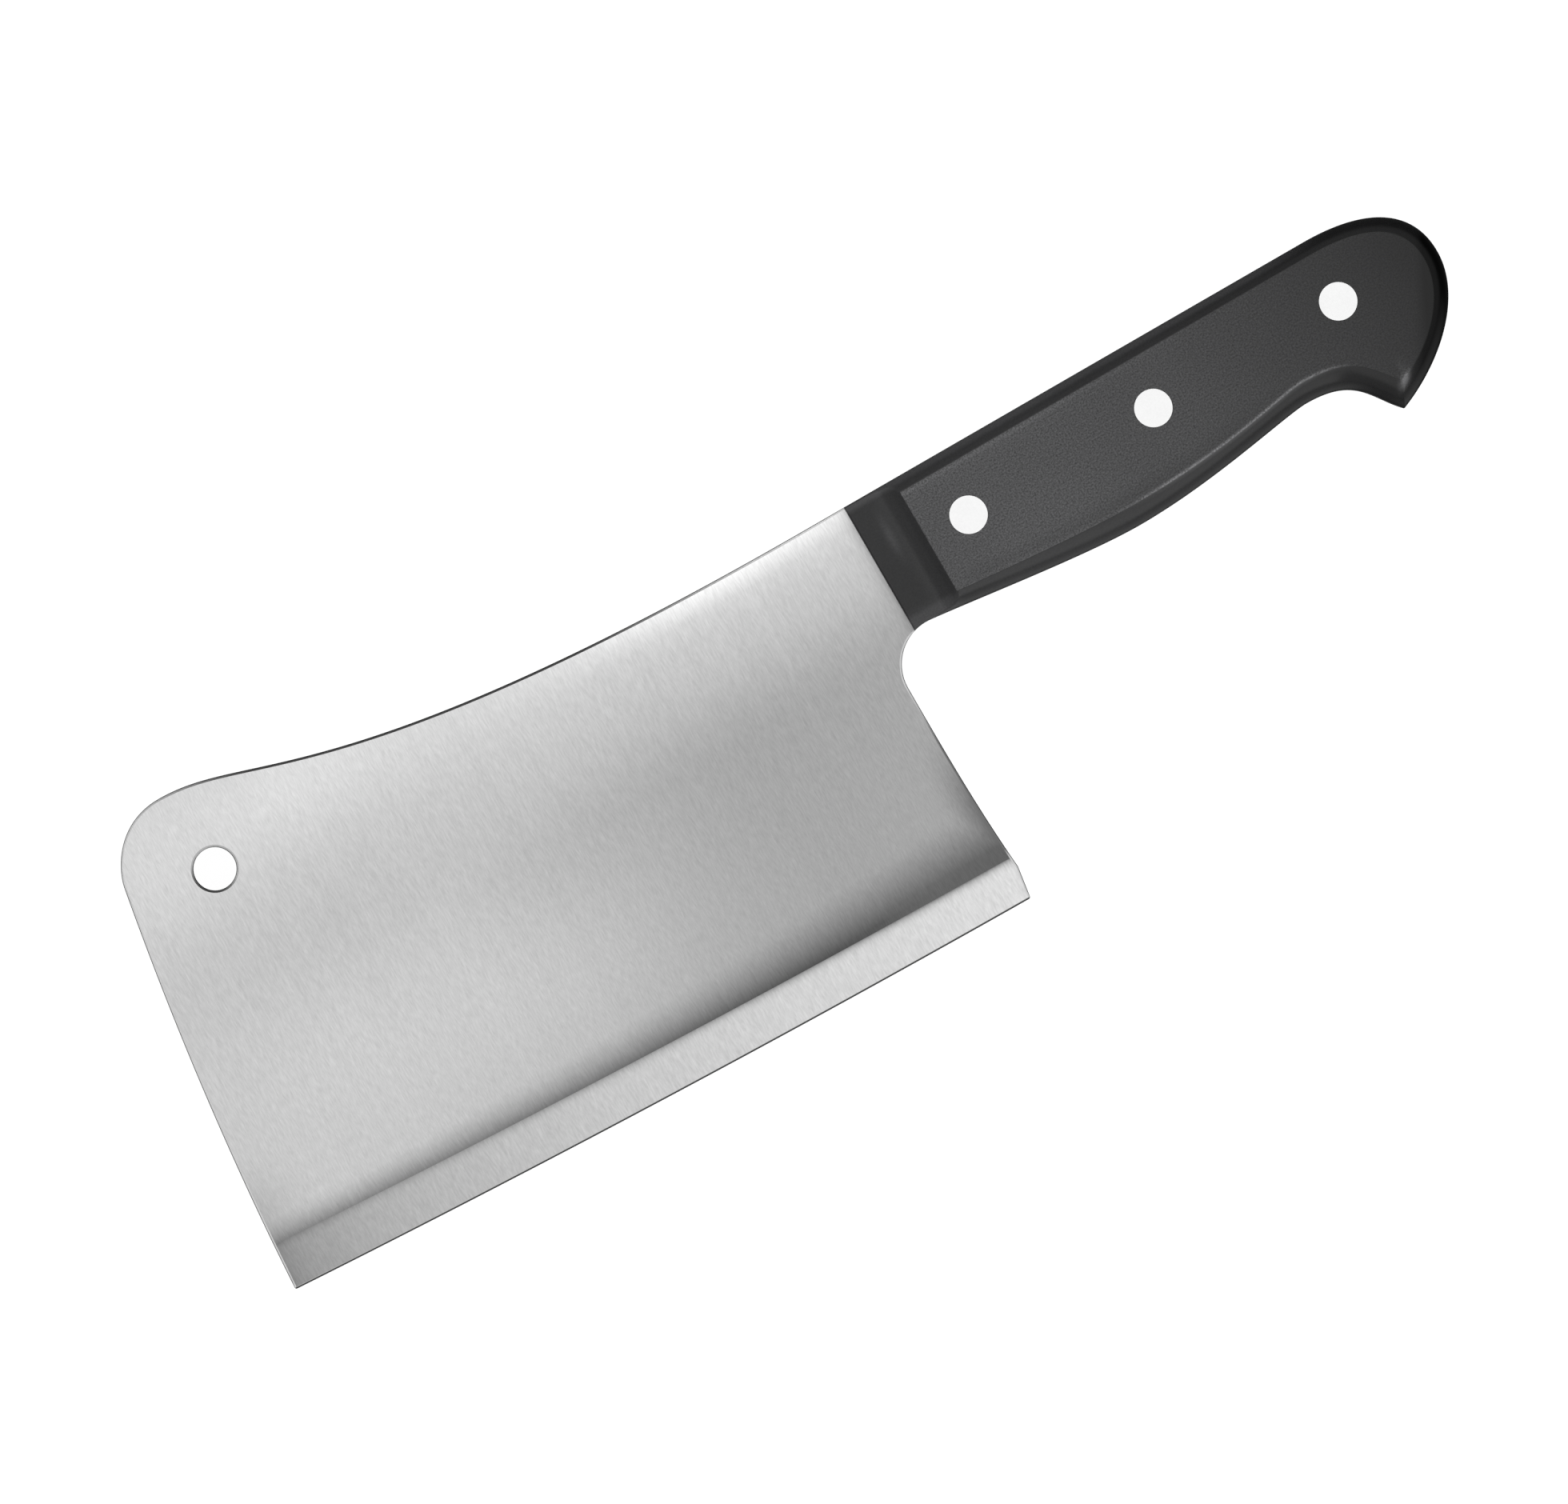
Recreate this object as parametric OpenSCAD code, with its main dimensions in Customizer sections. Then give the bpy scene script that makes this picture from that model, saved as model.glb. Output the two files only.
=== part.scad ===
// Meat cleaver: one steel plate ground into a blade with a full tang, two moulded handle
// scales, and three two-piece rivets that clamp the scales to the tang.
//
// The cleaver lies on its right side. +X runs from the blade to the butt of the handle, +Y
// towards the spine and +Z out of the left side. The origin is under the middle of its box.
// The shapes are drafted from the front end of the handle (x = 0) and the straight back of
// the handle (y = 0), with z = 0 in the middle of the plate.

/* [Blade] */
// Length from the front of the handle to the toe of the cutting edge
blade_l = 160; // [130:1:200]
// Thickness of the steel plate at the tang and at the top of the nose
plate_t = 3; // [2:0.1:5]
// Thickness that the sides are ground down to where the bevel starts
shoulder_t = 2.4; // [1.2:0.1:2.9]
// Height of the nose above the back of the handle
nose_rise = 16.7; // [8:0.1:30]
// Distance from the foremost point of the blade back to the crest of the nose
nose_crest = 23.4; // [18:0.1:40]
// How far the top of the front edge stands back from the toe
nose_setback = 9.7; // [2:0.1:15]
// Height of the rounded corner between the front edge and the crest
nose_round = 11.2; // [5:0.1:15]
// How far the front edge bows out between the nose and the toe
front_bow = 1.2; // [0.2:0.1:4]
// Share of the spine's length that its long hollow takes up
spine_hollow = 0.79; // [0.5:0.01:0.85]

/* [Cutting edge] */
// Drop from the back of the handle to the heel of the edge
heel_drop = 79.8; // [65:0.1:100]
// How much higher the toe lies than the heel
toe_lift = 5.3; // [0:0.1:10]
// How far the edge bows out between its heel and toe
edge_bow = 1; // [0.3:0.1:4]
// Height of the ground bevel
bevel_h = 8.8; // [5:0.1:12]
// Thickness of the honed edge itself
edge_t = 0.3; // [0.1:0.05:0.6]

/* [Heel] */
// Gap between the heel of the blade and the front of the handle
heel_gap = 6.3; // [4:0.1:8]
// Radius of the round between the heel and the underside of the handle
choil_r = 9; // [8:0.1:14]
// How far the heel swells back towards the handle above the bevel
heel_swell = 1.1; // [0.1:0.1:3]
// Height above the edge at which that swelling is greatest
heel_swell_h = 6.3; // [3:0.1:10]
// How much of the swelling the bevel takes off again at the edge
heel_relief = 0.9; // [0.1:0.1:3]

/* [Hanging hole] */
// Diameter of the hole
hang_hole_d = 8; // [5:0.1:12]
// Distance of its centre from the foremost point of the blade
hang_hole_in = 26; // [20:0.1:40]
// Distance of its centre below the crest of the nose
hang_hole_down = 16.4; // [10:0.1:30]

/* [Handle] */
// Length of the handle
handle_l = 118.7; // [100:0.1:150]
// Thickness of each scale
scale_t = 8; // [6:0.1:11]
// Depth of the handle where it leaves the choil
grip_front_h = 25.9; // [20:0.1:28]
// Slope of the underside there, in degrees
grip_slope = 6; // [1:0.5:10]
// Distance of the deepest part of the palm swell from the front of the handle
palm_in = 46; // [35:0.5:55]
// Depth of the handle at the palm swell
palm_h = 30.2; // [27:0.1:36]
// Distance of the little finger's hollow from the butt
hollow_in = 34.9; // [28:0.1:40]
// Depth of the handle at that hollow
hollow_h = 26.1; // [21:0.1:28]
// Distance of the hook's point from the butt
hook_in = 19.7; // [14:0.1:24]
// Depth of the handle at the hook's point
hook_h = 35.9; // [32:0.1:42]
// Level of the rearmost point of the butt below the back
butt_drop = 13.8; // [10:0.1:18]
// Length of the back that is rounded into the butt
butt_round = 20.7; // [12:0.1:28]

/* [Scale edges] */
// Height of each scale's upright wall beside the tang
wall_h = 3; // [1:0.1:5]
// Width of the rounded margin along the back and the butt
back_margin = 2.9; // [1.5:0.1:4]
// Width of the rounded margin under the palm
palm_margin = 4.5; // [2:0.1:6]
// Angle through which a margin turns before it meets the flat, in degrees
margin_turn = 62; // [40:1:85]
// Thickness of each scale at the neck, in front of its step
neck_t = 4.5; // [3:0.1:5.5]
// Distance of the step's sharp top from the front of the handle
step_in = 10.4; // [7:0.1:14]
// Radius of the step's hollow
step_r = 8; // [4:0.1:12]

/* [Rivets] */
// Diameter of the flush heads
rivet_head_d = 7.2; // [6:0.1:9]
// Thickness of the heads
rivet_head_t = 1.5; // [1:0.1:2.5]
// Outside diameter of a cap's tube
rivet_tube_d = 4.6; // [4:0.1:5.5]
// Diameter of a post's pin, which is pressed into the tube
rivet_pin_d = 3.2; // [2:0.1:3.6]
// Distance of the rivets below the back of the handle
rivet_drop = 12.7; // [10:0.1:16]
// Distance of the front rivet from the front of the handle
front_rivet_in = 19.3; // [16:0.1:26]
// Distance of the rear rivet from the butt
rear_rivet_in = 20.6; // [14:0.1:26]
// Extra diameter of the holes that the tubes pass through
tube_clearance = 0.2; // [0.1:0.05:0.6]
// Free length left past the end of a tube and of a pin when the heads are home
rivet_end_gap = 0.4; // [0.2:0.1:1]

/* [Hidden] */

steel = [0.78, 0.78, 0.77];
black_plastic = [0.20, 0.20, 0.21];
rivet_metal = [0.93, 0.93, 0.91];

steps = 14;             // straight pieces that each curve of the outline is drawn with
margin_steps = 5;       // flat strips that each rounded margin is made of
over = 5;               // how far a cutter reaches past what it cuts
fine = 96;              // sides of the round parts
swing_fine = 1800;      // sides of the wide circle that the bevel is ground along

// ---- Curves ----

function mix(a, b, k) = a + (b - a) * k;
function tail(list) = [for (i = [1:len(list) - 1]) list[i]];
function front(list) = [for (i = [0:len(list) - 2]) list[i]];
function turned(list) = [for (i = [len(list) - 1:-1:0]) list[i]];

function bezier(a, b, c, d) = [
    for (i = [0:steps])
        let (t = i / steps, s = 1 - t)
        s * s * s * a + 3 * s * s * t * b + 3 * s * t * t * c + t * t * t * d
];

// A curve that is level at both ends. Its ends run straight on for these shares of its span.
function level_curve(a, b, share_a, share_b) =
    let (span = b.x - a.x)
    bezier(a, a + [share_a * span, 0], b - [share_b * span, 0], b);

function arc(centre, r, from, to) = [
    for (i = [0:steps])
        let (angle = mix(from, to, i / steps))
        centre + r * [cos(angle), sin(angle)]
];

// A flat arc from a to b that bows out to the right of the way from a to b.
function bow_r(a, b, bow) = (pow(norm(b - a) / 2, 2) + bow * bow) / (2 * bow);
function bow_centre(a, b, bow) =
    let (way = (b - a) / norm(b - a))
    (a + b) / 2 + [-way.y, way.x] * (bow_r(a, b, bow) - bow);
function bow_middle(a, b) = atan2(a.x - b.x, b.y - a.y);
function bow_half(a, b, bow) = asin(norm(b - a) / 2 / bow_r(a, b, bow));
function bowed(a, b, bow) =
    let (middle = bow_middle(a, b), half = bow_half(a, b, bow))
    arc(bow_centre(a, b, bow), bow_r(a, b, bow), middle - half, middle + half);

// ---- Outline of the blade ----

toe = [-blade_l, toe_lift - heel_drop];
crest = [nose_crest - blade_l, nose_rise];
front_top = [nose_setback - blade_l, nose_rise - nose_round];
heel_x = -heel_gap;
heel_widest = [heel_x + heel_swell, heel_swell_h - heel_drop];
heel = [heel_widest.x - heel_relief, -heel_drop];
spine_end = [-7.5, 0];

choil_c = [heel_x + choil_r, -grip_front_h - choil_r];
choil_top = [heel_x, choil_c.y];

// The round of the nose leaves the front edge in line with it and reaches the crest level.
function nose() =
    let (
        way = (front_top - toe) / norm(front_top - toe),
        lean = bow_half(front_top, toe, front_bow),
        up = [cos(lean) * way.x + sin(lean) * way.y, cos(lean) * way.y - sin(lean) * way.x],
        width = crest.x - front_top.x
    )
    bezier(crest, crest - [0.65 * width, 0], front_top + 0.35 * nose_round * up, front_top);

function heel_line() =
    let (drop = choil_top.y - heel_widest.y)
    bezier(heel_widest, heel_widest + [-heel_swell, 0.35 * drop], choil_top - [0, 0.35 * drop],
           choil_top);

// ---- Outline of the handle ----
// The rim is the outline of the tang and of the scales beside it. The face is the edge of
// each scale's flat. Both are built alike, point for point, so that a margin joins them.

handle_front_angle = acos(-choil_c.x / choil_r);
grip_start_angle = 90 - grip_slope;

rim_palm = [palm_in, -palm_h];
rim_hollow = [handle_l - hollow_in, -hollow_h];
rim_hook = [handle_l - hook_in, -hook_h];
rim_butt = [handle_l, -butt_drop];

face_lip = [0, -grip_front_h + back_margin];
face_palm = [palm_in, palm_margin - palm_h];
face_hollow = rim_hollow + [1.2, mix(back_margin, palm_margin, 0.6)];
face_hook = rim_hook + [2.3, 1.65 * back_margin];
face_butt = rim_butt - [back_margin + 0.2, 0];

function grip_lip() = arc(choil_c, choil_r, handle_front_angle, grip_start_angle);

function underside(start, way, palm, hollow, hook) =
    let (reach = 0.26 * (palm.x - start.x), rise = hollow.y - hook.y)
    concat(
        tail(bezier(start, start + reach * way, palm - [reach, 0], palm)),
        tail(level_curve(palm, hollow, 0.43, 0.12)),
        tail(bezier(hollow, hollow + [0.7 * (hook.x - hollow.x), 0],
                    hook + [-0.44 * rise, 0.44 * rise], hook))
    );

// The curve of the butt below its rearmost point, and above it.
function butt_lower(hook, butt) =
    bezier(hook, hook + [0.51 * (butt.x - hook.x), 0.18 * (butt.y - hook.y)],
           butt - [0, 0.43 * (butt.y - hook.y)], butt);
function butt_upper(back_end, butt) =
    bezier(back_end, back_end + [0.62 * (butt.x - back_end.x), 0],
           butt + [0, 0.68 * (back_end.y - butt.y)], butt);

function rim_lower() =
    let (lip = grip_lip(), start = lip[steps], way = [cos(grip_slope), -sin(grip_slope)])
    concat(lip, underside(start, way, rim_palm, rim_hollow, rim_hook));

function face_lower() =
    let (
        lip = [for (p = grip_lip()) [p.x, face_lip.y]],
        way = [cos(grip_slope), -sin(grip_slope)]
    )
    concat(lip, underside(lip[steps], way, face_palm, face_hollow, face_hook));

// A loop runs back along the underside, round the butt and forward along the back. The
// points along the back stand over those of the underside.
back_l = handle_l - butt_round;
function loop(lower, hook, butt, back_y) =
    let (
        back_end = [back_l, back_y],
        back = [for (p = front(lower)) [p.x * back_l / hook.x, back_y]],
        upper = concat(back, butt_upper(back_end, butt))
    )
    concat(lower, tail(butt_lower(hook, butt)), tail(turned(upper)));

rim = loop(rim_lower(), rim_hook, rim_butt, 0);
face = loop(face_lower(), face_hook, face_butt, -back_margin);

// ---- Whole outline, and the row's frame ----

outline = concat(
    front(nose()),
    front(bowed(front_top, toe, front_bow)),
    front(bowed(toe, heel, edge_bow)),
    [heel],
    front(heel_line()),
    front(arc(choil_c, choil_r, 180, handle_front_angle)),
    front(rim),
    [[0, 0]],
    front(level_curve(spine_end, crest, spine_hollow, 0.15))
);

xs = [for (p = outline) p.x];
ys = [for (p = outline) p.y];
half_t = plate_t / 2 + scale_t;
middle = [(min(xs) + max(xs)) / 2, (min(ys) + max(ys)) / 2, -half_t];

module in_row_frame() {
    translate(-middle) children();
}

// Both sides of the plate, and what is the same on each.
module both_sides() {
    children();
    mirror([0, 0, 1]) children();
}

// ---- Blade ----

rivet_xs = [
    front_rivet_in,
    (front_rivet_in + handle_l - rear_rivet_in) / 2,
    handle_l - rear_rivet_in
];

module at_rivet(place) {
    translate([rivet_xs[place], -rivet_drop, 0]) children();
}

tube_hole_d = rivet_tube_d + tube_clearance;

module side_grind() {
    low = -heel_drop - over;
    slope = (plate_t - shoulder_t) / 2 / (nose_rise + heel_drop - bevel_h);
    fall = slope * (nose_rise - low);
    rotate([90, 0, 90])
        translate([0, 0, -blade_l - over])
            linear_extrude(blade_l + over)
                polygon([
                    [nose_rise, plate_t / 2],
                    [low, plate_t / 2 - fall],
                    [low, plate_t],
                    [nose_rise, plate_t]
                ]);
}

// The bevel follows the bow of the edge, so it is cut by a cone about the bow's centre.
module bevel_grind() {
    r = bow_r(toe, heel, edge_bow);
    half = 1.2 * bow_half(toe, heel, edge_bow);
    slope = (shoulder_t - edge_t) / 2 / bevel_h;
    run = (plate_t - edge_t / 2) / slope;
    translate(bow_centre(toe, heel, edge_bow))
        rotate_extrude(angle = 2 * half, start = bow_middle(toe, heel) - half,
                       $fn = swing_fine)
            polygon([
                [r - run, plate_t],
                [r + over, edge_t / 2 - slope * over],
                [r + over, plate_t]
            ]);
}

module blade() {
    color(steel)
        in_row_frame()
            difference() {
                linear_extrude(plate_t, center = true) polygon(outline);
                both_sides() {
                    side_grind();
                    bevel_grind();
                }
                translate([hang_hole_in - blade_l, nose_rise - hang_hole_down, 0])
                    cylinder(h = plate_t + over, d = hang_hole_d, center = true, $fn = fine);
                for (place = [0:2])
                    at_rivet(place)
                        cylinder(h = plate_t + over, d = tube_hole_d, center = true,
                                 $fn = fine);
            }
}

// ---- Handle scales ----

// The loops of a scale from the tang outwards, as [share of the margin, height].
levels = concat(
    [[0, 0]],
    [
        for (i = [0:margin_steps])
            let (angle = margin_turn * i / margin_steps)
            [
                (1 - cos(angle)) / (1 - cos(margin_turn)),
                mix(wall_h, scale_t, sin(angle) / sin(margin_turn))
            ]
    ]
);

module moulding() {
    n = len(rim);
    half = (n - 1) / 2;
    points = [
        for (level = levels, i = [0:n - 1])
            let (p = mix(rim[i], face[i], level[0]))
            [p.x, p.y, level[1]]
    ];
    walls = [
        for (row = [0:len(levels) - 2], i = [0:n - 1])
            let (a = row * n + i, b = row * n + (i + 1) % n)
            each [[a, a + n, b + n], [a, b + n, b]]
    ];
    // Each flat end is a strip of pieces across the handle, from the underside to the back.
    strip = concat(
        [for (i = [0:half - 2]) each [[i, i + 1, n - 2 - i], [i, n - 2 - i, n - 1 - i]]],
        [[half - 1, half, half + 1]]
    );
    top = (len(levels) - 1) * n;
    lid = [for (piece = strip) [piece[2] + top, piece[1] + top, piece[0] + top]];
    polyhedron(points, concat(walls, strip, lid));
}

// A hollow step in front of the flat, which thins the scale down to its neck.
module step_cut() {
    rise = scale_t - neck_t;
    run = sqrt(step_r * step_r - pow(step_r - rise, 2));
    depth = hook_h + over;
    translate([step_in - run, over, neck_t])
        rotate([90, 0, 0])
            linear_extrude(depth + over) {
                translate([0, step_r]) circle(step_r, $fn = fine);
                translate([-step_in, 0]) square([step_in, step_r]);
            }
}

module scale_at_left() {
    color(black_plastic)
        translate([0, 0, plate_t / 2])
            difference() {
                moulding();
                step_cut();
                for (place = [0:2])
                    at_rivet(place) {
                        translate([0, 0, -over])
                            cylinder(h = scale_t + 2 * over, d = tube_hole_d, $fn = fine);
                        translate([0, 0, scale_t - rivet_head_t])
                            cylinder(h = rivet_head_t + over, d = rivet_head_d, $fn = fine);
                    }
            }
}

module left_scale() {
    in_row_frame() scale_at_left();
}

module right_scale() {
    in_row_frame() mirror([0, 0, 1]) scale_at_left();
}

// ---- Rivets ----
// A post's head fills the counterbore in the left scale and a cap's head the one in the right
// scale. The pin goes into the tube, which passes through both scales and the tang.

head_seat = half_t - rivet_head_t;

module rivet_head() {
    translate([0, 0, head_seat]) cylinder(h = rivet_head_t, d = rivet_head_d, $fn = fine);
}

module rivet_post(place) {
    color(rivet_metal)
        in_row_frame()
            at_rivet(place) {
                rivet_head();
                translate([0, 0, rivet_end_gap - head_seat])
                    cylinder(h = 2 * head_seat - rivet_end_gap, d = rivet_pin_d, $fn = fine);
            }
}

module rivet_cap(place) {
    color(rivet_metal)
        in_row_frame()
            at_rivet(place) {
                mirror([0, 0, 1]) rivet_head();
                translate([0, 0, -head_seat])
                    difference() {
                        cylinder(h = 2 * head_seat - rivet_end_gap, d = rivet_tube_d,
                                 $fn = fine);
                        cylinder(h = 2 * head_seat, d = rivet_pin_d, $fn = fine);
                    }
            }
}

blade();
left_scale();
right_scale();
rivet_post(0);  // front_rivet_post
rivet_cap(0);  // front_rivet_cap
rivet_post(1);  // middle_rivet_post
rivet_cap(1);  // middle_rivet_cap
rivet_post(2);  // rear_rivet_post
rivet_cap(2);  // rear_rivet_cap
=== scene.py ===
from math import acos, asin, atan2, cos, pi, radians, sin, sqrt

import bmesh
import bpy
import numpy as np
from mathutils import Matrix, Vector
from mathutils.geometry import delaunay_2d_cdt


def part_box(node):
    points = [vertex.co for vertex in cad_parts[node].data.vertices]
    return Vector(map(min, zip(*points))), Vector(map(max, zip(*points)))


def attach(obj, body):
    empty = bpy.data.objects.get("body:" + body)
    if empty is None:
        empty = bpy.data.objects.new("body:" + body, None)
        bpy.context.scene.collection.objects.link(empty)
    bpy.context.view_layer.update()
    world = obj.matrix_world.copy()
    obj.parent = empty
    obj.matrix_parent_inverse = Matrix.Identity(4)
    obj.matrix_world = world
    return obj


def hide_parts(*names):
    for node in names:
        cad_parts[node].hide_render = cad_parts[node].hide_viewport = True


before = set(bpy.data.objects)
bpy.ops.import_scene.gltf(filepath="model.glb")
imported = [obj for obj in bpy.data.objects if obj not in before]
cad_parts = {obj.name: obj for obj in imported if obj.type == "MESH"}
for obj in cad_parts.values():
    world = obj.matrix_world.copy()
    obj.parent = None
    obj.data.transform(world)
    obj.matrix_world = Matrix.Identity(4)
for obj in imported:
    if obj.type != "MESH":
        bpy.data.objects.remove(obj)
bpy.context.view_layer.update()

# ==== Blade ================================================================================
# One plate of stainless steel, stamped out with its full tang and its hanging hole. The
# sides are ground thinner towards the edge and brushed from spine to edge, and the bevel is
# ground last. Shapes are drafted in millimetres from the top front corner of the handle.

mm = 0.001
blade_l = 160.0         # handle to toe
plate_t = 3.0
shoulder_t = 2.4        # thickness where the bevel starts
nose_rise = 16.7        # nose above the back of the handle
nose_crest = 23.4       # its crest behind the toe
nose_setback = 9.7      # top of the front behind the toe
nose_round = 11.2       # and below the crest
front_bow = 1.2         # how far the front bows out
spine_hollow = 0.79     # share of the spine that its hollow takes up
spine_end = np.array([-7.5, 0.0])
heel_drop = 79.8        # heel below the back of the handle
toe_lift = 5.3          # toe above the heel
edge_bow = 1.0          # how far the cutting edge bows out
edge_t = 0.3
bevel_toe_h = 9.1       # height of the bevel at the toe
bevel_heel_h = 8.35     # and at the heel
heel_gap = 6.3          # back of the blade in front of the handle
heel_swell = 1.1        # how far it swells out above the heel
heel_swell_h = 6.3      # and how high
heel_relief = 0.9       # heel in front of the swell
choil_r = 9.0           # the round between blade and handle
hang_hole_r = 4.0
hang_hole = np.array([26.0 - blade_l, nose_rise - 16.4])
tube_hole_r = 2.4
handle_l = 118.7
grip_front_h = 25.9     # depth of the handle at its front
grip_slope = radians(6)
butt_round = 20.7
back_l = handle_l - butt_round
first_rivet, last_rivet = 19.3, handle_l - 20.6
rivet_places = {"front": first_rivet, "middle": (first_rivet + last_rivet) / 2,
                "rear": last_rivet}
rivet_drop = 12.7       # rivets below the back of the handle

blade_low, blade_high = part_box("blade")
origin = Vector((blade_low.x + blade_l * mm, blade_high.y - nose_rise * mm,
                 (blade_low.z + blade_high.z) / 2))


def bezier(a, b, c, d, steps):
    """A curve from a to d that leaves towards b and arrives from c."""
    t = np.linspace(0, 1, steps + 1)[:, None]
    s = 1 - t
    return s**3 * a + 3 * s * s * t * b + 3 * s * t * t * c + t**3 * d


def level_curve(a, b, share_a, share_b, steps):
    """A curve that is level at both ends, which run straight on for these shares of it."""
    span = np.array([b[0] - a[0], 0])
    return bezier(a, a + share_a * span, b - share_b * span, b, steps)


def arc(centre, r, start, end, steps):
    """Part of a circle, between two angles."""
    turn = np.linspace(start, end, steps + 1)
    return centre + r * np.stack([np.cos(turn), np.sin(turn)], axis=1)


def bow_shape(a, b, bow):
    """Centre, radius, middle direction and half turn of a flat arc that bows to the right."""
    chord = np.linalg.norm(b - a)
    way = (b - a) / chord
    r = ((chord / 2) ** 2 + bow**2) / (2 * bow)
    centre = (a + b) / 2 + np.array([-way[1], way[0]]) * (r - bow)
    return centre, r, atan2(a[0] - b[0], b[1] - a[1]), asin(chord / 2 / r)


def bowed(a, b, bow, steps):
    """A flat arc from a to b that bows to the right."""
    centre, r, middle, half = bow_shape(a, b, bow)
    return arc(centre, r, middle - half, middle + half, steps)


toe = np.array([-blade_l, toe_lift - heel_drop])
crest = np.array([nose_crest - blade_l, nose_rise])
front_top = np.array([nose_setback - blade_l, nose_rise - nose_round])
heel_widest = np.array([heel_swell - heel_gap, heel_swell_h - heel_drop])
heel = np.array([heel_widest[0] - heel_relief, -heel_drop])
choil_c = np.array([choil_r - heel_gap, -grip_front_h - choil_r])
choil_top = np.array([-heel_gap, choil_c[1]])
edge_centre, edge_r, _, _ = bow_shape(toe, heel, edge_bow)


def nose_line(steps):
    """The round nose, from its crest down to the top of the front."""
    crest_pull, front_pull = 0.65, 0.35
    way = (front_top - toe) / np.linalg.norm(front_top - toe)
    lean = bow_shape(front_top, toe, front_bow)[3]
    up = np.array([cos(lean) * way[0] + sin(lean) * way[1],
                   cos(lean) * way[1] - sin(lean) * way[0]])
    width = crest[0] - front_top[0]
    return bezier(crest, crest - [crest_pull * width, 0],
                  front_top + front_pull * nose_round * up, front_top, steps)


def heel_line(steps):
    """The back of the blade, from its swell above the heel up to the choil."""
    pull = 0.35 * (choil_top[1] - heel_widest[1])
    return bezier(heel_widest, heel_widest + [-heel_swell, pull], choil_top - [0, pull],
                  choil_top, steps)


# Where the handle's rim is lowest under the palm, highest in the hollow for the little
# finger, at the point of the hook and rearmost at the butt.
rim_palm = np.array([46.0, -30.2])
rim_hollow = np.array([handle_l - 34.9, -26.1])
rim_hook = np.array([handle_l - 19.7, -35.9])
rim_butt = np.array([handle_l, -13.8])
rim_hold = 0.43         # share of the way to the hollow that the palm runs on level


def underside(start, palm, hollow, hook, steps, hold):
    """The three curves under the grip, from the choil to the point of the hook."""
    front_pull, hollow_hold, hollow_pull, hook_pull = 0.26, 0.12, 0.7, 0.44
    way = np.array([cos(grip_slope), -sin(grip_slope)])
    reach = front_pull * (palm[0] - start[0])
    rise = hook_pull * (hollow[1] - hook[1])
    return np.concatenate([
        bezier(start, start + reach * way, palm - [reach, 0], palm, steps)[1:],
        level_curve(palm, hollow, hold, hollow_hold, steps)[1:],
        bezier(hollow, hollow + [hollow_pull * (hook[0] - hollow[0]), 0],
               hook + [-rise, rise], hook, steps)[1:],
    ])


def butt_lower(hook, butt, steps):
    """The butt from the point of the hook back to its rearmost point."""
    hook_pull, butt_pull = np.array([0.51, 0.18]), np.array([0, 0.43])
    step = butt - hook
    return bezier(hook, hook + hook_pull * step, butt - butt_pull * step, butt, steps)


def butt_upper(back_y, butt, steps):
    """The butt from the back of the handle round to its rearmost point."""
    back_pull, butt_pull = 0.62, 0.68
    end = np.array([back_l, back_y])
    return bezier(end, end + [back_pull * (butt[0] - back_l), 0],
                  butt + [0, butt_pull * (back_y - butt[1])], butt, steps)


front_angle = acos(-choil_c[0] / choil_r)
lip = arc(choil_c, choil_r, front_angle, pi / 2 - grip_slope, 12)


def plate_outline():
    """The plate's outline, anticlockwise, and how far its edges are eased all along it."""
    back, square, honed, flush = 0.32, 0.28, 0.25, 0.06
    corner_cut = 0.45
    palm_line = underside(lip[-1], rim_palm, rim_hollow, rim_hook, 34, rim_hold)
    runs = [
        (nose_line(30), square),
        (bowed(front_top, toe, front_bow, 80), square),
        (bowed(toe, heel, edge_bow, 160), honed),
        (np.array([heel + (heel_widest - heel) * k for k in np.linspace(0, 1, 9)]), square),
        (heel_line(40), square),
        (arc(choil_c, choil_r, pi, front_angle, 20), square),
        (lip, flush),
        (np.concatenate([lip[-1:], palm_line]), flush),
        (butt_lower(rim_hook, rim_butt, 26), flush),
        (butt_upper(0.0, rim_butt, 40)[::-1], flush),
        (np.array([[x, 0.0] for x in np.linspace(back_l, 0, 70)]), flush),
        (np.array([[x, 0.0] for x in np.linspace(0, spine_end[0], 6)]), square),
        (level_curve(spine_end, crest, spine_hollow, 0.15, 120), back),
    ]
    points = np.concatenate([run[:-1] for run, _ in runs])
    ease = np.concatenate([np.full(len(run) - 1, r) for run, r in runs])
    corners = [int(np.argmin(np.linalg.norm(points - p, axis=1))) for p in (toe, heel, rim_hook)]
    return round_corners(points, ease, corners, corner_cut)


def round_corners(points, ease, corners, cut):
    """Swaps each sharp corner of a loop for a small curve."""
    new_points, new_ease = [], []
    for i, (p, r) in enumerate(zip(points, ease)):
        if i not in corners:
            new_points.append(p)
            new_ease.append(r)
            continue
        before, after = points[i - 1], points[(i + 1) % len(points)]
        a = p + (before - p) / np.linalg.norm(before - p) * cut
        b = p + (after - p) / np.linalg.norm(after - p) * cut
        for t in np.linspace(0, 1, 6):
            new_points.append((1 - t) ** 2 * a + 2 * t * (1 - t) * p + t * t * b)
            new_ease.append(min(ease[i - 1], r))
    return np.array(new_points), np.array(new_ease)


def from_edge(p):
    """Distance of points from the line of the cutting edge."""
    return edge_r - np.linalg.norm(p - edge_centre, axis=-1)


def toe_to_heel(p):
    """How far along the edge these points lie, 0 at the toe and 1 at the heel."""
    return np.clip((p[..., 0] + blade_l) / (blade_l + heel[0]), 0, 1)


def bevel_h(p):
    """Height of the bevel where these points lie along the blade."""
    return bevel_toe_h + (bevel_heel_h - bevel_toe_h) * toe_to_heel(p)


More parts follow.
